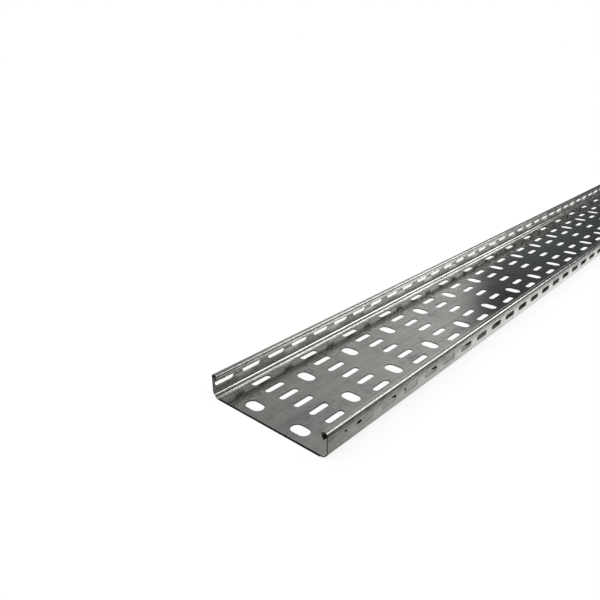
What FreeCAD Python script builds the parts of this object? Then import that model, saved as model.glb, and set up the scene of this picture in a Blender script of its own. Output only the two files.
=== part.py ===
# Perforated cable tray with returned flanges, in millimetres.
# One strip of galvanised steel, punched flat and then roll-formed: a flat base, a flange up each side,
# and at the top of each flange a return that turns inwards and ends in a lip.
# X runs along the tray, Y across it and Z up from the underside, with the origin under its middle.
import FreeCAD, Part
import math
import os

Vector = FreeCAD.Vector

# Stock
tray_length = 3000.0
tray_width = 150.0  # over the outer faces of the flanges
tray_height = 26.0  # underside of the base to the top of the returns
sheet = 1.0

# Bends, by the radius on their inner side
base_bend = 6.0
top_bend = 1.8
nose_bend = 1.8

# Return and lip
return_width = 7.0  # outer face of the flange to the nose
lip_length = 4.6  # straight part, past the nose
lip_lean = 25.0  # degrees off upright, back towards the flange

# Stations along the tray: a pair of wide slots, a row of narrow ones, a pair and so on
first_station = 15.0  # from the end at the low X to the first pair
station_pitch = 37.5
end_metal = 2.0  # least metal left between a slot and an end

# Narrow slots along the base
slot_length = 25.0
slot_width = 7.0
slot_spacing = 20.0

# Wide slots across the base
wide_length = 21.0
wide_width = 13.5
wide_spacing = 60.0

# Slots along the flanges
side_length = 25.0
side_width = 7.0
side_height = 14.0  # underside of the base to the middle of the slots

# How far a punch stands past each face of the sheet
punch_past = 1.0

half_length = tray_length / 2
half_width = tray_width / 2
base_flat = tray_width - 2 * (base_bend + sheet)
flange_flat = tray_height - (base_bend + sheet) - (top_bend + sheet)
return_flat = return_width - (top_bend + sheet) - (nose_bend + sheet)


def heading(degrees):
    """The unit vector in the YZ plane at an angle from +Y towards +Z."""
    angle = math.radians(degrees)
    return Vector(0, math.cos(angle), math.sin(angle))


def formed_strip(start, bends):
    """The edges of a strip's inner and outer faces, from bends given as (turn, inner radius, flat past it).

    The strip starts at a point on its outer face, heads along +Y and turns towards its inner face.
    """
    inner, outer = [], []
    corner, angle = start, 0.0
    for turn, radius, flat in bends:
        centre = corner + heading(angle + 90) * (radius + sheet)
        for edges, reach in ((inner, radius), (outer, radius + sheet)):
            spokes = [centre + heading(angle - 90 + part * turn) * reach for part in (0, 0.5, 1)]
            past = spokes[2] + heading(angle + turn) * flat
            edges.append(Part.Arc(*spokes).toShape())
            edges.append(Part.LineSegment(spokes[2], past).toShape())
        corner, angle = past, angle + turn
    return inner, outer


def section():
    """The tray's section as a face at the low end."""
    bends = [
        (90, base_bend, flange_flat),
        (90, top_bend, return_flat),
        (90 + lip_lean, nose_bend, lip_length),
    ]
    bend_line = Vector(-half_length, base_flat / 2, 0)
    inner, outer = formed_strip(bend_line, bends)
    tip = Part.LineSegment(inner[-1].Vertexes[-1].Point, outer[-1].Vertexes[-1].Point).toShape()
    side = inner + outer + [tip]
    across = Vector(0, 1, 0)
    edges = side + [edge.mirror(Vector(0, 0, 0), across) for edge in side]
    for height in (0, sheet):
        near = bend_line + Vector(0, 0, height)
        edges.append(Part.LineSegment(near, near - across * base_flat).toShape())
    return Part.Face(Part.Wire(Part.__sortEdges__(edges)))


def punch(length, width, along, aside, depth):
    """A round-ended punch centred on the origin: its length along one direction, its width aside."""
    run = along * ((length - width) / 2)
    reach = aside * (width / 2)
    nose = along * (length / 2)
    outline = Part.Wire(
        [
            Part.LineSegment(reach - run, reach + run).toShape(),
            Part.Arc(reach + run, nose, run - reach).toShape(),
            Part.LineSegment(run - reach, -run - reach).toShape(),
            Part.Arc(-run - reach, -nose, reach - run).toShape(),
        ]
    )
    block = Part.Face(outline).extrude(along.cross(aside) * depth)
    block.translate(along.cross(aside) * (-depth / 2))
    return block


def placed(tool, x, y, z):
    copy = tool.copy()
    copy.translate(Vector(x, y, z))
    return copy


def across_base(first, spacing, size):
    """Places across the flat of the base, first to each side of the middle and then every spacing."""
    last = math.floor(((base_flat - size) / 2 - first) / spacing)
    steps = [first + step * spacing for step in range(last + 1)]
    return sorted({place for step in steps for place in (-step, step)})


def stations():
    """Places along the tray from its low end, while the longest slot still leaves metal at the far end."""
    room = tray_length - end_metal - max(slot_length, side_length) / 2
    count = math.floor((room - first_station) / station_pitch) + 1
    return [-half_length + first_station + step * station_pitch for step in range(count)]


def punches():
    along, across, up = Vector(1, 0, 0), Vector(0, 1, 0), Vector(0, 0, 1)
    depth = sheet + 2 * punch_past
    narrow = punch(slot_length, slot_width, along, across, depth)
    wide = punch(wide_length, wide_width, across, along, depth)
    side = punch(side_length, side_width, along, up, depth)
    rows = across_base(0, slot_spacing, slot_width)
    pairs = across_base(wide_spacing / 2, wide_spacing, wide_length)
    tools = []
    for number, x in enumerate(stations()):
        if number % 2:
            tools += [placed(narrow, x, y, sheet / 2) for y in rows]
        else:
            tools += [placed(wide, x, y, sheet / 2) for y in pairs]
        for y in (half_width - sheet / 2, sheet / 2 - half_width):
            tools.append(placed(side, x, y, side_height))
    return tools


def cable_tray():
    return section().extrude(Vector(tray_length, 0, 0)).cut(punches())


os.makedirs("parts", exist_ok=True)
cable_tray().exportStep("parts/cable_tray.step")
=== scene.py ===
import math

import bpy
from mathutils import Matrix, Vector


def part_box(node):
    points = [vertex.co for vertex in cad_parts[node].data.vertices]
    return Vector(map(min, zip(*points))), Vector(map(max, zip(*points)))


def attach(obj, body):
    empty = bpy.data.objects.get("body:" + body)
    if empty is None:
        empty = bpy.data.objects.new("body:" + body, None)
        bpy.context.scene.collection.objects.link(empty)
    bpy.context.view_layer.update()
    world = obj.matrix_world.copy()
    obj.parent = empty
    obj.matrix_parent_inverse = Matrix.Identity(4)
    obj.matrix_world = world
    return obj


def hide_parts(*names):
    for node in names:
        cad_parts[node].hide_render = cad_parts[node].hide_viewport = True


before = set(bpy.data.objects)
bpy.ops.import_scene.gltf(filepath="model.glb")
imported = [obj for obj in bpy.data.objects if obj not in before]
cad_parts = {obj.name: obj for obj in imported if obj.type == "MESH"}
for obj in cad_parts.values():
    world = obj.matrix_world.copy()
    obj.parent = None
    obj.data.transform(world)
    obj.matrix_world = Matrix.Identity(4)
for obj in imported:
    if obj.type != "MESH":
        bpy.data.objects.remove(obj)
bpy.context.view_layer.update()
low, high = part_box("cable_tray")
print("frame loaded, tray", [round(b - a, 4) for a, b in zip(low, high)])

mm = 0.001


# Small helpers

def linear(hexColour):
    # an sRGB hex value as the linear colour that Blender works in
    channels = [int(hexColour[i:i + 2], 16) / 255 for i in (1, 3, 5)]
    return [c / 12.92 if c <= 0.04045 else ((c + 0.055) / 1.055) ** 2.4 for c in channels] + [1.0]


def addNode(tree, kind, settings=None):
    # A setting is the node's own, or goes to the socket of that name or number: its value, or the socket or
    # node that feeds it, a node from its first output. The node's own come first, as they choose its sockets.
    node = tree.nodes.new(kind)
    for name, value in (settings or {}).items():
        if isinstance(name, str) and hasattr(node, name):
            setattr(node, name, value)
            continue
        inUse = [socket for socket in node.inputs if socket.enabled and socket.name == name]
        socket = inUse[0] if inUse else node.inputs[name]
        if isinstance(value, bpy.types.Node):
            value = next(output for output in value.outputs if output.enabled)
        if isinstance(value, bpy.types.NodeSocket):
            tree.links.new(value, socket)
        else:
            socket.default_value = value
    return node


def setStops(ramp, stops):
    # a colour ramp's stops as (position, colour), in their order
    elements = ramp.color_ramp.elements
    while len(elements) < len(stops):
        elements.new(0.5)
    for element, (position, colour) in zip(elements, stops):
        element.position = position
        element.color = colour


def startMaterial(name):
    # an empty material, its tree and the place on the object that its patterns go by
    material = bpy.data.materials.new(name)
    material.use_nodes = True
    tree = material.node_tree
    tree.nodes.clear()
    return material, tree, addNode(tree, "ShaderNodeTexCoord").outputs["Object"]


def startTree(name, inputs):
    # a geometry tree with its inputs, each a (name, kind, value), and what comes in at them
    tree = bpy.data.node_groups.new(name, "GeometryNodeTree")
    for label, kind, value in inputs:
        socket = tree.interface.new_socket(label, in_out="INPUT", socket_type="NodeSocket" + kind)
        if value is not None:
            socket.default_value = value
    tree.interface.new_socket("Geometry", in_out="OUTPUT", socket_type="NodeSocketGeometry")
    return tree, addNode(tree, "NodeGroupInput").outputs


def makeObject(name, data):
    piece = bpy.data.objects.new(name, data)
    bpy.context.scene.collection.objects.link(piece)
    return piece


# Galvanised steel: strip dipped in zinc and skin-passed, so it is a dull mirror of what stands around it.
# The eye sees cloudy grey patches, faint streaks along the rolling direction and soft, smeared reflections.

zinc = {
    # the grain's tones, from stained to bright
    "tones": ((0.3, "#b0b3b1"), (0.46, "#d6d7d2"), (0.66, "#e6e6e0")),
    "cloudSize": 60 * mm,
    "streakLength": 160 * mm,
    "streakWidth": 3.5 * mm,
    "streakShare": 0.45,
    "spangleSize": 6 * mm,
    "spangleShare": 0.12,
    # as the grain brightens from one to the other of these, the roughness falls from its first to its second
    "roughGrain": (0.3, 0.7),
    "rough": (0.22, 0.13),
    "waveSize": 110 * mm,
    "waveDepth": 0.7 * mm,
    # the dents that rolling leaves beside the base's bends, growing over this stretch off the middle
    "dentSize": 34 * mm,
    "dentDepth": 0.3 * mm,
    "dentsFrom": (42 * mm, 54 * mm),
    # the scuffs that rolls and stacking leave on the flanges' outer faces, and how far in from them they fade
    "scuffLength": 8 * mm,
    "scuffWidth": 2.6 * mm,
    "scuffDepth": 0.22 * mm,
    "scuffFade": (0.05 * mm, 0.02 * mm),
}


def drawnOut(tree, place, length, width, detail, rough):
    # noise that is longer along the tray than across it
    scale = (1 / length, 1 / width, 1 / width)
    scaled = addNode(tree, "ShaderNodeMapping", {"Vector": place, "Scale": scale})
    return addNode(tree, "ShaderNodeTexNoise", {
        "Vector": scaled, "Scale": 1.0, "Detail": detail, "Roughness": rough})


def zincGrain(tree, place):
    # clouds, streaks and the crystals' spangle in one value
    clouds = addNode(tree, "ShaderNodeTexNoise", {
        "Vector": place, "Scale": 1 / zinc["cloudSize"], "Detail": 4.0, "Roughness": 0.6})
    streaks = drawnOut(tree, place, zinc["streakLength"], zinc["streakWidth"], detail=5.0, rough=0.65)
    blend = addNode(tree, "ShaderNodeMix", {
        "data_type": "FLOAT", "Factor": zinc["streakShare"], "A": clouds, "B": streaks})
    spangle = addNode(tree, "ShaderNodeTexVoronoi", {
        "Vector": place, "Scale": 1 / zinc["spangleSize"], "Randomness": 1.0})
    flake = addNode(tree, "ShaderNodeSeparateColor", {"Color": spangle.outputs["Color"]})
    return addNode(tree, "ShaderNodeMix", {
        "data_type": "FLOAT", "Factor": zinc["spangleShare"], "A": blend, "B": flake})


def zincRelief(tree, place):
    # soft waves all over, dents beside the bends and scuffs outside the flanges, as a height in metres
    across = addNode(tree, "ShaderNodeSeparateXYZ", {"Vector": place}).outputs["Y"]
    sideways = addNode(tree, "ShaderNodeMath", {"operation": "ABSOLUTE", 0: across})
    scuffsFrom = [high[1] - inwards for inwards in zinc["scuffFade"]]
    dentDepth, scuffDepth = [
        addNode(tree, "ShaderNodeMapRange", {
            "Value": sideways, "From Min": start, "From Max": end, "To Max": depth})
        for (start, end), depth in ((zinc["dentsFrom"], zinc["dentDepth"]), (scuffsFrom, zinc["scuffDepth"]))]
    dents, waves = [
        addNode(tree, "ShaderNodeTexNoise", {"Vector": place, "Scale": 1 / size, "Detail": 1.0})
        for size in (zinc["dentSize"], zinc["waveSize"])]
    scuffs = drawnOut(tree, place, zinc["scuffLength"], zinc["scuffWidth"], detail=2.0, rough=0.5)
    height = 0.0
    for pattern, depth in ((dents, dentDepth), (scuffs, scuffDepth), (waves, zinc["waveDepth"])):
        height = addNode(tree, "ShaderNodeMath", {
            "operation": "MULTIPLY_ADD", 0: pattern, 1: depth, 2: height})
    return height


def galvanisedZinc():
    material, tree, place = startMaterial("galvanisedZinc")
    grain = zincGrain(tree, place)
    tone = addNode(tree, "ShaderNodeValToRGB", {"Fac": grain})
    setStops(tone, [(position, linear(colour)) for position, colour in zinc["tones"]])
    (dull, bright), (most, least) = zinc["roughGrain"], zinc["rough"]
    rough = addNode(tree, "ShaderNodeMapRange", {
        "Value": grain, "From Min": dull, "From Max": bright, "To Min": most, "To Max": least})
    relief = zincRelief(tree, place)
    wavy = addNode(tree, "ShaderNodeBump", {"Strength": 1.0, "Distance": 1.0, "Height": relief})
    shader = addNode(tree, "ShaderNodeBsdfPrincipled", {
        "Metallic": 1.0, "Base Color": tone, "Roughness": rough, "Normal": wavy})
    addNode(tree, "ShaderNodeOutputMaterial", {"Surface": shader})
    return material


# Sheared steel edge: what the punch and the shear leave in the sheet's thickness. It is coloured darker and
# duller than the zinc, partly as the steel's own tone and partly as painted shade; in the flanges' slots the
# photo shows it smooth and pale, and there its pale colour is a painted highlight.

cutEdge = {
    # near black: partly the torn steel's own tone, partly painted shade on the cut faces
    "dark": "#0c0c0b",
    "light": "#2a2b28",
    # pale in the flanges' slots: a painted highlight on their cut walls
    "smooth": "#d2d3ce",
    "tearSize": 0.8 * mm,
    "rough": 0.6,
    # the flanges' slots lie within this of the outer faces, and the tray's own ends within this of the ends
    "flangeDepth": 1.3 * mm,
    "endDepth": 1.0 * mm,
}


def shearedEdge():
    material, tree, place = startMaterial("shearedSteelEdge")
    tears = addNode(tree, "ShaderNodeTexNoise", {
        "Vector": place, "Scale": 1 / cutEdge["tearSize"], "Detail": 2.0})
    torn = addNode(tree, "ShaderNodeValToRGB", {"Fac": tears})
    setStops(torn, ((0.0, linear(cutEdge["dark"])), (1.0, linear(cutEdge["light"]))))
    position = addNode(tree, "ShaderNodeSeparateXYZ", {"Vector": place}).outputs
    sideways, endways = [
        addNode(tree, "ShaderNodeMath", {"operation": "ABSOLUTE", 0: position[axis]}) for axis in "YX"]
    inFlange = addNode(tree, "ShaderNodeMath", {
        "operation": "GREATER_THAN", 0: sideways, 1: high[1] - cutEdge["flangeDepth"]})
    offEnds = addNode(tree, "ShaderNodeMath", {
        "operation": "LESS_THAN", 0: endways, 1: high[0] - cutEdge["endDepth"]})
    paintedHighlightMask = addNode(tree, "ShaderNodeMath", {"operation": "MULTIPLY", 0: inFlange, 1: offEnds})
    # the painted highlight in the flanges' slots, and near black, partly painted shade, everywhere else
    colour = addNode(tree, "ShaderNodeMix", {
        "data_type": "RGBA", "Factor": paintedHighlightMask, "A": torn, "B": linear(cutEdge["smooth"])})
    shader = addNode(tree, "ShaderNodeBsdfPrincipled", {
        "Metallic": 1.0, "Roughness": cutEdge["rough"], "Base Color": colour})
    addNode(tree, "ShaderNodeOutputMaterial", {"Surface": shader})
    return material


# The tray: one strip, bent along its length and punched with round-ended slots

tray = {
    "sheet": 1.0 * mm,
    "baseBend": 6.0 * mm,  # each bend by the radius on its inner side
    "topBend": 1.8 * mm,
    "noseBend": 1.8 * mm,
    "returnWidth": 7.0 * mm,
    "lipLength": 4.6 * mm,
    "lipLean": 25.0,  # degrees off upright, back towards the flange
    "bendSteps": 16,
    "firstStation": 15.0 * mm,
    "pitch": 75.0 * mm,
    "stationsOfEach": 40,
    "narrowLength": 25.0 * mm,
    "narrowWidth": 7.0 * mm,
    "narrowColumns": 7,
    "narrowSpacing": 20.0 * mm,
    "wideLength": 21.0 * mm,
    "wideWidth": 13.5 * mm,
    "wideSpacing": 60.0 * mm,
    "sideHeight": 14.0 * mm,
    "rollOver": 0.35 * mm,  # the rounded rim that a punch leaves on the side it comes from
    "punchSides": 28,
    "punchRings": 6,
    "punchPast": 0.1,  # how far it stands past the sheet, as a share of the roll-over
    "punchBelow": 6.0 * mm,
    "crispFrom": 28.0,  # degrees between two faces
    "nothing": 0.001 * mm,  # lengths under this count as none
}


def sectionCurve():
    # the middle of the sheet as a bent line with sharp corners, each with its bend as the point's radius
    halfSheet = tray["sheet"] / 2
    side, top = high[1] - halfSheet, high[2] - halfSheet
    nose = tray["noseBend"] + halfSheet
    lean = math.radians(tray["lipLean"])
    pastBend = nose * math.tan((math.pi / 2 + lean) / 2)  # how far a sharp corner stands past its bend
    noseCorner = high[1] - tray["returnWidth"] + tray["sheet"] + tray["noseBend"] - pastBend
    toTip = tray["lipLength"] + pastBend
    right = [
        (side, halfSheet, tray["baseBend"] + halfSheet),
        (side, top, tray["topBend"] + halfSheet),
        (noseCorner, top, nose),
        (noseCorner + math.sin(lean) * toTip, top - math.cos(lean) * toTip, 0),
    ]
    points = [(-y, z, bend) for y, z, bend in reversed(right)] + right
    curve = bpy.data.curves.new("traySection", "CURVE")
    curve.dimensions = "3D"
    line = curve.splines.new("POLY")
    line.points.add(len(points) - 1)
    for point, (y, z, bend) in zip(line.points, points):
        point.co = (0, y, z, 1)
        point.radius = bend
    return makeObject("traySection", curve)


def punchTree():
    # One round-ended punch that stands through the sheet: a barrel from -1 to 1 in height, pulled apart along
    # its length, and widened at the top so that it leaves the rounded rim of a punched hole
    tree, given = startTree("slotPunch", (
        ("Length", "Float", None),
        ("Width", "Float", None),
        ("Sheet", "Float", None),
        ("Roll Over", "Float", None),
        ("Sides", "Int", tray["punchSides"]),
    ))
    roll = given["Roll Over"]
    radius = addNode(tree, "ShaderNodeMath", {"operation": "MULTIPLY", 0: given["Width"], 1: 0.5})
    barrel = addNode(tree, "GeometryNodeMeshCylinder", {
        "Vertices": given["Sides"], "Side Segments": tray["punchRings"], "Depth": 2.0, "Radius": radius})
    position = addNode(tree, "GeometryNodeInputPosition")
    onBarrel = addNode(tree, "ShaderNodeSeparateXYZ", {"Vector": position}).outputs

    # the upper half is wrapped round a quarter circle and ends just past the sheet
    rise = addNode(tree, "ShaderNodeMath", {"operation": "MAXIMUM", 0: onBarrel["Z"], 1: 0.0})
    turn = addNode(tree, "ShaderNodeMath", {"operation": "MULTIPLY", 0: rise, 1: math.pi / 2})
    sine = addNode(tree, "ShaderNodeMath", {"operation": "SINE", 0: turn})
    cosine = addNode(tree, "ShaderNodeMath", {"operation": "COSINE", 0: turn})
    past = addNode(tree, "ShaderNodeMath", {
        "operation": "MULTIPLY_ADD", 0: rise, 1: tray["punchPast"], 2: -1.0})
    up = addNode(tree, "ShaderNodeMath", {"operation": "ADD", 0: sine, 1: past})
    top = addNode(tree, "ShaderNodeMath", {"operation": "MULTIPLY_ADD", 0: roll, 1: up, 2: given["Sheet"]})
    out = addNode(tree, "ShaderNodeMath", {"operation": "SUBTRACT", 0: 1.0, 1: cosine})
    wider = addNode(tree, "ShaderNodeMath", {"operation": "MULTIPLY", 0: roll, 1: out})
    growth = addNode(tree, "ShaderNodeMath", {"operation": "DIVIDE", 0: wider, 1: radius})
    flare = addNode(tree, "ShaderNodeMath", {"operation": "ADD", 0: 1.0, 1: growth})

    # the lower half runs straight down
    fall = addNode(tree, "ShaderNodeMath", {"operation": "MINIMUM", 0: onBarrel["Z"], 1: 0.0})
    z = addNode(tree, "ShaderNodeMath", {
        "operation": "MULTIPLY_ADD", 0: fall, 1: tray["punchBelow"], 2: top})

    # the round ends stand apart by the length of the straight sides
    straight = addNode(tree, "ShaderNodeMath", {
        "operation": "SUBTRACT", 0: given["Length"], 1: given["Width"]})
    apart = addNode(tree, "ShaderNodeMath", {"operation": "MULTIPLY", 0: straight, 1: 0.5})
    offMiddle = addNode(tree, "ShaderNodeMath", {"operation": "SNAP", 0: onBarrel["X"], 1: tray["nothing"]})
    side = addNode(tree, "ShaderNodeMath", {"operation": "SIGN", 0: offMiddle})
    shift = addNode(tree, "ShaderNodeMath", {"operation": "MULTIPLY", 0: side, 1: apart})
    x = addNode(tree, "ShaderNodeMath", {
        "operation": "MULTIPLY_ADD", 0: onBarrel["X"], 1: flare, 2: shift})
    y = addNode(tree, "ShaderNodeMath", {"operation": "MULTIPLY", 0: onBarrel["Y"], 1: flare})
    moved = addNode(tree, "ShaderNodeCombineXYZ", {"X": x, "Y": y, "Z": z})
    punch = addNode(tree, "GeometryNodeSetPosition", {"Geometry": barrel, "Position": moved})
    marked = addNode(tree, "GeometryNodeStoreNamedAttribute", {
        "data_type": "FLOAT", "domain": "FACE", "Geometry": punch, "Name": "punched", "Value": 1.0})
    addNode(tree, "NodeGroupOutput", {"Geometry": marked})
    return tree


def addStrip(tree, given):
    # the section with its corners rounded, drawn out along X
    section = addNode(tree, "GeometryNodeObjectInfo", {"Object": given["Section"]})
    bend = addNode(tree, "GeometryNodeInputRadius")
    rounded = addNode(tree, "GeometryNodeFilletCurve", {
        "mode": "POLY", "Curve": section.outputs["Geometry"], "Count": given["Bend Steps"], "Radius": bend})
    edge = addNode(tree, "GeometryNodeCurveToMesh", {"Curve": rounded})
    halfBack = addNode(tree, "ShaderNodeMath", {"operation": "MULTIPLY", 0: given["Length"], 1: -0.5})
    toStart = addNode(tree, "ShaderNodeCombineXYZ", {"X": halfBack})
    atStart = addNode(tree, "GeometryNodeSetPosition", {"Geometry": edge, "Offset": toStart})
    toEnd = addNode(tree, "ShaderNodeCombineXYZ", {"X": given["Length"]})
    drawn = addNode(tree, "GeometryNodeExtrudeMesh", {
        "mode": "EDGES", "Mesh": atStart, "Offset": toEnd, "Offset Scale": 1.0})

    # its thickness, half to each side, with the faces that this leaves at the cut edges marked as such
    normal = addNode(tree, "GeometryNodeInputNormal")
    halfDown = addNode(tree, "ShaderNodeMath", {"operation": "MULTIPLY", 0: given["Sheet"], 1: -0.5})
    toFace = addNode(tree, "ShaderNodeVectorMath", {
        "operation": "SCALE", "Vector": normal, "Scale": halfDown})
    face = addNode(tree, "GeometryNodeSetPosition", {"Geometry": drawn, "Offset": toFace})
    thick = addNode(tree, "GeometryNodeExtrudeMesh", {
        "mode": "FACES", "Mesh": face, "Offset Scale": given["Sheet"], "Individual": False})
    marked = addNode(tree, "GeometryNodeStoreNamedAttribute", {
        "data_type": "FLOAT", "domain": "FACE", "Geometry": thick, "Selection": thick.outputs["Side"],
        "Name": "punched", "Value": 1.0})
    back = addNode(tree, "GeometryNodeFlipFaces", {"Mesh": face})
    shell = addNode(tree, "GeometryNodeJoinGeometry")
    for part in (marked, back):
        tree.links.new(part.outputs[0], shell.inputs[0])
    return addNode(tree, "GeometryNodeMergeByDistance", {"Geometry": shell, "Distance": tray["nothing"]})


def addPunches(tree, given, punch):
    narrow, wide = [
        addNode(tree, "GeometryNodeGroup", {
            "node_tree": punch, "Length": given[slot + " Length"], "Width": given[slot + " Width"],
            "Sheet": given["Sheet"], "Roll Over": given["Roll Over"]})
        for slot in ("Narrow", "Wide")]
    gaps = addNode(tree, "ShaderNodeMath", {"operation": "SUBTRACT", 0: given["Rows"], 1: 1.0})
    span = addNode(tree, "ShaderNodeMath", {"operation": "MULTIPLY", 0: given["Pitch"], 1: gaps})
    halfPitch = addNode(tree, "ShaderNodeMath", {"operation": "MULTIPLY", 0: given["Pitch"], 1: 0.5})
    columnGaps = addNode(tree, "ShaderNodeMath", {"operation": "SUBTRACT", 0: given["Columns"], 1: 1.0})
    columnSpan = addNode(tree, "ShaderNodeMath", {
        "operation": "MULTIPLY", 0: given["Column Spacing"], 1: columnGaps})

    # pairs of wide slots across the base, rows of narrow ones between them, and a line along each flange
    pairs = addNode(tree, "GeometryNodeMeshGrid", {
        "Size X": span, "Size Y": given["Pair Spacing"], "Vertices X": given["Rows"], "Vertices Y": 2})
    rows = addNode(tree, "GeometryNodeMeshGrid", {
        "Size X": span, "Size Y": columnSpan, "Vertices X": given["Rows"], "Vertices Y": given["Columns"]})
    stations = addNode(tree, "ShaderNodeMath", {"operation": "MULTIPLY", 0: given["Rows"], 1: 2.0})
    step = addNode(tree, "ShaderNodeCombineXYZ", {"X": halfPitch})
    line = addNode(tree, "GeometryNodeMeshLine", {"mode": "OFFSET", "Count": stations, "Offset": step})
    pairMiddle = addNode(tree, "ShaderNodeMath", {
        "operation": "MULTIPLY_ADD", 0: span, 1: 0.5, 2: given["First Pair"]})
    rowMiddle = addNode(tree, "ShaderNodeMath", {"operation": "ADD", 0: pairMiddle, 1: halfPitch})
    patterns = [
        (narrow, rows, {"X": rowMiddle}, (0, 0, 0)),
        (wide, pairs, {"X": pairMiddle}, (0, 0, math.pi / 2)),
    ]
    for way in (1, -1):
        aside = addNode(tree, "ShaderNodeMath", {"operation": "MULTIPLY", 0: given["Width"], 1: way / 2})
        first = {"X": given["First Pair"], "Y": aside, "Z": given["Side Height"]}
        patterns.append((narrow, line, first, (way * math.pi / 2, 0, 0)))
    punches = addNode(tree, "GeometryNodeJoinGeometry")
    for tool, points, shift, turn in patterns:
        offset = addNode(tree, "ShaderNodeCombineXYZ", shift)
        placed = addNode(tree, "GeometryNodeSetPosition", {"Geometry": points, "Offset": offset})
        copies = addNode(tree, "GeometryNodeInstanceOnPoints", {
            "Points": placed, "Instance": tool, "Rotation": turn})
        tree.links.new(copies.outputs[0], punches.inputs[0])
    return addNode(tree, "GeometryNodeRealizeInstances", {"Geometry": punches})


def trayTree(punch, zincMaterial, edgeMaterial):
    tree, given = startTree("perforatedTray", (
        ("Geometry", "Geometry", None),
        ("Section", "Object", None),
        ("Length", "Float", high[0] - low[0]),
        ("Width", "Float", high[1] - low[1]),
        ("Sheet", "Float", tray["sheet"]),
        ("Bend Steps", "Int", tray["bendSteps"]),
        ("First Pair", "Float", low[0] + tray["firstStation"]),
        ("Pitch", "Float", tray["pitch"]),
        ("Rows", "Int", tray["stationsOfEach"]),
        ("Columns", "Int", tray["narrowColumns"]),
        ("Column Spacing", "Float", tray["narrowSpacing"]),
        ("Pair Spacing", "Float", tray["wideSpacing"]),
        ("Side Height", "Float", tray["sideHeight"]),
        ("Narrow Length", "Float", tray["narrowLength"]),
        ("Narrow Width", "Float", tray["narrowWidth"]),
        ("Wide Length", "Float", tray["wideLength"]),
        ("Wide Width", "Float", tray["wideWidth"]),
        ("Roll Over", "Float", tray["rollOver"]),
    ))
    strip = addStrip(tree, given)
    punches = addPunches(tree, given, punch)
    punched = addNode(tree, "GeometryNodeMeshBoolean", {
        "operation": "DIFFERENCE", "solver": "MANIFOLD", "Mesh 1": strip, "Mesh 2": punches})

    # soft across the bends, crisp at the sheared edges
    angle = addNode(tree, "GeometryNodeInputMeshEdgeAngle").outputs["Unsigned Angle"]
    soft = addNode(tree, "FunctionNodeCompare", {
        "operation": "LESS_THAN", "data_type": "FLOAT", "A": angle, "B": math.radians(tray["crispFrom"])})
    smooth = addNode(tree, "GeometryNodeSetShadeSmooth", {"domain": "FACE", "Geometry": punched})
    crisp = addNode(tree, "GeometryNodeSetShadeSmooth", {
        "domain": "EDGE", "Geometry": smooth, "Shade Smooth": soft})

    # zinc all over, then bare steel on the faces marked as cut, which hold 1 where the others hold 0
    mark = addNode(tree, "GeometryNodeInputNamedAttribute", {"data_type": "FLOAT", "Name": "punched"})
    isCut = addNode(tree, "FunctionNodeCompare", {
        "operation": "GREATER_THAN", "data_type": "FLOAT", "A": mark, "B": 0.5})
    whole = addNode(tree, "GeometryNodeRealizeInstances", {"Geometry": crisp})
    coated = addNode(tree, "GeometryNodeSetMaterial", {"Geometry": whole, "Material": zincMaterial})
    done = addNode(tree, "GeometryNodeSetMaterial", {
        "Geometry": coated, "Selection": isCut, "Material": edgeMaterial})
    addNode(tree, "NodeGroupOutput", {"Geometry": done})
    return tree


def buildTray():
    section = sectionCurve()
    maker = makeObject("trayMaker", bpy.data.meshes.new("trayMaker"))
    modifier = maker.modifiers.new("perforatedTray", "NODES")
    modifier.node_group = trayTree(punchTree(), galvanisedZinc(), shearedEdge())
    modifier[modifier.node_group.interface.items_tree["Section"].identifier] = section
    evaluated = maker.evaluated_get(bpy.context.evaluated_depsgraph_get())
    mesh = bpy.data.meshes.new_from_object(evaluated)
    mesh.name = "trayStrip"
    body = makeObject("trayStrip", mesh)
    bpy.data.objects.remove(maker)
    bpy.data.objects.remove(section)
    body.modifiers.new("flatsStayFlat", "WEIGHTED_NORMAL").keep_sharp = True
    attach(body, "root")
    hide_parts("cable_tray")
    triangles = sum(len(face.vertices) - 2 for face in mesh.polygons)
    print("tray built,", len(mesh.polygons), "faces,", triangles, "triangles")


buildTray()


# Camera, as the photograph was taken: close to one end and looking along the tray

view = {
    "fromEnd": (-311.1 * mm, -333.2 * mm, 319.3 * mm),  # off the middle of the near end's underside
    "turn": (66.94, 0.59, -47.47),
    "lens": 35.15,
    "sensor": 36.0,
    "reach": 50.0,
}


def placeCamera():
    data = bpy.data.cameras.new("camera")
    data.sensor_width = view["sensor"]
    data.lens = view["lens"]
    data.clip_end = view["reach"]
    camera = makeObject("camera", data)
    camera.location = Vector((low[0], 0, 0)) + Vector(view["fromEnd"])
    camera.rotation_euler = [math.radians(angle) for angle in view["turn"]]
    bpy.context.scene.camera = camera


placeCamera()
print("camera placed")


# Floor: white for the camera, with the tray's shadow on it and a painted shadow under the right-hand edge and
# the near end.
# The metal mirrors it duller than that, with painted shade beside the near end and away from the flanges.

white = "#ffffff"

ground = {
    "size": 40.0,
    "drop": 0.2 * mm,
    "ownLight": 0.8,
    # as the metal mirrors it: painted shade, dull beside the near end and dark away from the flanges, and
    # white further along
    "paintedShadeNear": "#979894",
    "whiteFrom": (0.0, 0.38),
    "darkAway": (14 * mm, 23 * mm),
    "darkShare": 0.15,
    "mirroredOwnLight": 0.45,
    # a painted shadow on the floor under the right-hand edge, where the photo's flange slots look as if no
    # light came up:
    # how far in from that edge it begins, is full from and to, and ends, and how far off the tray's ends
    "paintedShadow": "#141512",
    "shadowInwards": (5 * mm, 6 * mm, 22 * mm, 34 * mm),
    "shadowOffEnds": (1 * mm, 3 * mm),
    # the same painted shadow under the near end, for the gap that its bow leaves in the photo: along from
    # that end, and where it is full and where it ends, off the middle
    "endShadowAlong": (-1.2 * mm, 3 * mm),
    "endShadowAside": (66 * mm, 72 * mm),
}


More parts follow.
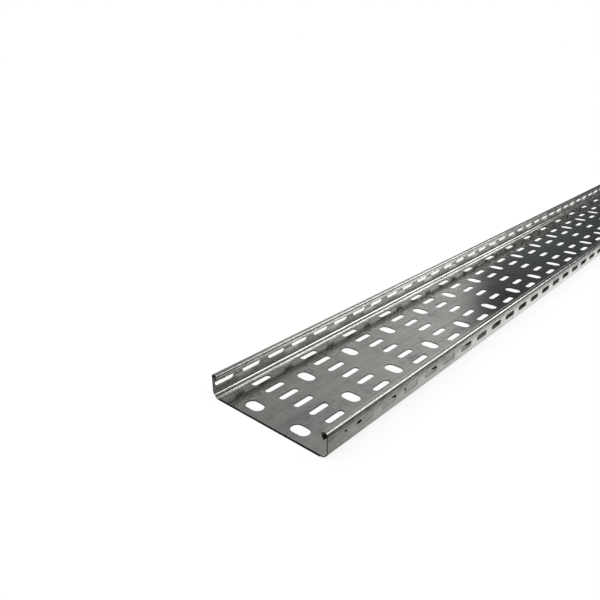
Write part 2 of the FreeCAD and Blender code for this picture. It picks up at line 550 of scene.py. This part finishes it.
def paintedMirroredFloor(tree, position, sideways):
    # painted shade that only the metal sees: dull beside the near end, and dark away from the flanges
    start, end = [low[0] + along for along in ground["whiteFrom"]]
    pale = addNode(tree, "ShaderNodeMapRange", {"Value": position["X"], "From Min": start, "From Max": end})
    beside = addNode(tree, "ShaderNodeMix", {
        "data_type": "RGBA", "Factor": pale, "A": linear(ground["paintedShadeNear"]), "B": linear(white)})
    near, far = [high[1] + away for away in ground["darkAway"]]
    shade = addNode(tree, "ShaderNodeMapRange", {
        "Value": sideways, "From Min": near, "From Max": far, "To Min": 1.0, "To Max": ground["darkShare"]})
    return addNode(tree, "ShaderNodeMix", {
        "data_type": "RGBA", "blend_type": "MULTIPLY", "Factor": 1.0, "A": beside, "B": shade})


def outsidePaintedShadow(tree, position, sideways):
    # 1 where the floor is free of the painted shadow and 0 where that shadow is full
    inwards = addNode(tree, "ShaderNodeMapRange", {
        "Value": position["Y"], "From Min": low[1], "From Max": 0.0})
    band = addNode(tree, "ShaderNodeValToRGB", {"Fac": inwards})
    shadowStops = zip((0.0, *ground["shadowInwards"]), (0.0, 0.0, 1.0, 1.0, 0.0))
    setStops(band, [(inset / high[1], (paintedShadow, paintedShadow, paintedShadow, 1)) for inset, paintedShadow in shadowStops])
    endways = addNode(tree, "ShaderNodeMath", {"operation": "ABSOLUTE", 0: position["X"]})
    none, full = [high[0] - inset for inset in ground["shadowOffEnds"]]
    offEnds = addNode(tree, "ShaderNodeMapRange", {"Value": endways, "From Min": none, "From Max": full})
    underEdge = addNode(tree, "ShaderNodeMath", {"operation": "MULTIPLY", 0: band, 1: offEnds})
    first, last = [low[0] + along for along in ground["endShadowAlong"]]
    atEnd = addNode(tree, "ShaderNodeMath", {
        "operation": "COMPARE", 0: position["X"], 1: (first + last) / 2, 2: (last - first) / 2})
    full, none = ground["endShadowAside"]
    within = addNode(tree, "ShaderNodeMapRange", {"Value": sideways, "From Min": none, "From Max": full})
    underEnd = addNode(tree, "ShaderNodeMath", {"operation": "MULTIPLY", 0: atEnd, 1: within})
    paintedShadowLevel = addNode(tree, "ShaderNodeMath", {"operation": "MAXIMUM", 0: underEdge, 1: underEnd})
    return addNode(tree, "ShaderNodeMath", {"operation": "SUBTRACT", "use_clamp": True, 0: 1.0, 1: paintedShadowLevel})


def paleFloor():
    material, tree, place = startMaterial("paleFloor")
    position = addNode(tree, "ShaderNodeSeparateXYZ", {"Vector": place}).outputs
    sideways = addNode(tree, "ShaderNodeMath", {"operation": "ABSOLUTE", 0: position["Y"]})
    mirrored = paintedMirroredFloor(tree, position, sideways)
    bare = outsidePaintedShadow(tree, position, sideways)
    # what the camera sees: white, turning to the painted shadow's dark colour where that shadow lies
    seen = addNode(tree, "ShaderNodeMix", {
        "data_type": "RGBA", "Factor": bare, "A": linear(ground["paintedShadow"]), "B": linear(white)})
    ownLight = addNode(tree, "ShaderNodeMath", {"operation": "MULTIPLY", 0: bare, 1: ground["ownLight"]})

    # in each of these, B is what the camera gets and A what every other ray gets
    camera = addNode(tree, "ShaderNodeLightPath").outputs["Is Camera Ray"]
    colour = addNode(tree, "ShaderNodeMix", {
        "data_type": "RGBA", "Factor": camera, "A": mirrored, "B": seen})
    glow = addNode(tree, "ShaderNodeMix", {
        "data_type": "RGBA", "Factor": camera, "A": mirrored, "B": linear(white)})
    share = addNode(tree, "ShaderNodeMix", {
        "data_type": "FLOAT", "Factor": camera, "A": ground["mirroredOwnLight"], "B": ownLight})
    lit = addNode(tree, "ShaderNodeBsdfDiffuse", {"Color": colour})
    glowing = addNode(tree, "ShaderNodeEmission", {"Color": glow, "Strength": 1.0})
    mixed = addNode(tree, "ShaderNodeMixShader", {"Fac": share, 1: lit, 2: glowing})
    addNode(tree, "ShaderNodeOutputMaterial", {"Surface": mixed})
    return material


def buildFloor():
    side = ground["size"] / 2
    z = low[2] - ground["drop"]
    corners = [(-side, -side, z), (side, -side, z), (side, side, z), (-side, side, z)]
    mesh = bpy.data.meshes.new("floor")
    mesh.from_pydata(corners, [], [(0, 1, 2, 3)])
    mesh.materials.append(paleFloor())
    makeObject("floor", mesh)


# Sky: white for the camera and for lighting the floor. The metal sees a room there instead, pale to the left,
# dark ahead and grey to the right and above.

sky = {
    # each band's brightness by bearing, in degrees from the tray's direction and towards the left
    "horizon": (
        (-180, 0.6), (-75, 0.3), (-60, 0.1), (-24, 0.1), (-15, 0.05), (6, 0.02), (12, 0.02), (14.5, 0.06),
        (20, 0.22), (26, 0.3), (34, 0.7), (110, 0.7), (180, 0.6)),
    "walls": (
        (-180, 0.35), (-120, 0.25), (-75, 0.1), (-60, 0.05), (-53, 0.06), (-50, 0.16), (-40, 0.2),
        (-34, 0.36), (-25, 0.32), (-20, 0.16), (-15, 0.1), (-5, 0.05), (2, 0.02), (24, 0.016),
        (26.5, 0.5), (34, 0.36), (50, 0.215), (90, 0.22), (180, 0.35)),
    "ceiling": (
        (-180, 0.4), (-60, 0.16), (-20, 0.1), (10, 0.1), (40, 0.22), (60, 0.2), (90, 0.3), (180, 0.4)),
    # the heights, in degrees, between which a band takes over from the one below
    "wallsFrom": (11, 21),
    "ceilingFrom": (34, 50),
    # the wall ahead is cooler than the rest
    "coolBearings": (-34, 26),
    "coolWall": "#ebfaf7",
}


def panorama(tree, bearing, band):
    first, last = sky["coolBearings"]
    stops = []
    for degrees, level in sky[band]:
        tint = linear(sky["coolWall"] if first < degrees < last else white)
        stops.append((degrees / 360 + 0.5, [level * channel for channel in tint[:3]] + [1]))
    ramp = addNode(tree, "ShaderNodeValToRGB", {"Fac": bearing})
    setStops(ramp, stops)
    return ramp


def buildSky():
    world = bpy.data.worlds.new("studioSky")
    bpy.context.scene.world = world
    world.use_nodes = True
    tree = world.node_tree
    tree.nodes.clear()
    ray = addNode(tree, "ShaderNodeTexCoord").outputs["Generated"]
    way = addNode(tree, "ShaderNodeSeparateXYZ", {"Vector": ray}).outputs
    radians = addNode(tree, "ShaderNodeMath", {"operation": "ARCTAN2", 0: way["Y"], 1: way["X"]})
    # the bearing as 0 to 1, from half a turn to the right to half a turn to the left
    bearing = addNode(tree, "ShaderNodeMath", {
        "operation": "MULTIPLY_ADD", 0: radians, 1: 0.5 / math.pi, 2: 0.5})
    room = panorama(tree, bearing, "horizon")
    for band in ("walls", "ceiling"):
        start, end = [math.sin(math.radians(degrees)) for degrees in sky[band + "From"]]
        above = addNode(tree, "ShaderNodeMapRange", {"Value": way["Z"], "From Min": start, "From Max": end})
        room = addNode(tree, "ShaderNodeMix", {
            "data_type": "RGBA", "Factor": above, "A": room, "B": panorama(tree, bearing, band)})
    mirrored = addNode(tree, "ShaderNodeBackground", {"Color": room, "Strength": 1.0})
    plain = addNode(tree, "ShaderNodeBackground", {"Color": linear(white), "Strength": 1.0})
    glossy = addNode(tree, "ShaderNodeLightPath").outputs["Is Glossy Ray"]
    mixed = addNode(tree, "ShaderNodeMixShader", {"Fac": glossy, 1: plain, 2: mirrored})
    addNode(tree, "ShaderNodeOutputWorld", {"Surface": mixed})


# Strip lamps, which draw the bright lines along the bends

lamps = {
    "distance": 25.0,
    # each one's two ends as (bearing, height), its width, all in degrees, and its brightness, where 1 is
    # paper white
    "strips": {
        "stripRight": ((-50, 44), (-14, 22), 8.5, 3.2),
        "stripAhead": ((0, 56), (0, 30), 8.5, 2.6),
    },
}


def towards(bearing, height):
    turn, tilt = math.radians(bearing), math.radians(height)
    return Vector((math.cos(tilt) * math.cos(turn), math.cos(tilt) * math.sin(turn), math.sin(tilt)))


def addLamp(name, start, end, angle, brightness):
    first, last = [towards(*way) * lamps["distance"] for way in (start, end)]
    middle, along = (first + last) / 2, last - first
    data = bpy.data.lights.new(name, "AREA")
    data.shape = "RECTANGLE"
    data.size = along.length
    data.size_y = 2 * lamps["distance"] * math.tan(math.radians(angle) / 2)
    data.energy = brightness * math.pi * data.size * data.size_y
    lamp = makeObject(name, data)
    lamp.visible_camera = False
    lamp.location = middle
    back, side = middle.normalized(), along.normalized()
    lamp.rotation_euler = Matrix((side, back.cross(side), back)).transposed().to_euler()


buildFloor()
buildSky()
for name, strip in lamps["strips"].items():
    addLamp(name, *strip)
print("studio built")

bpy.context.scene.view_settings.view_transform = "Standard"
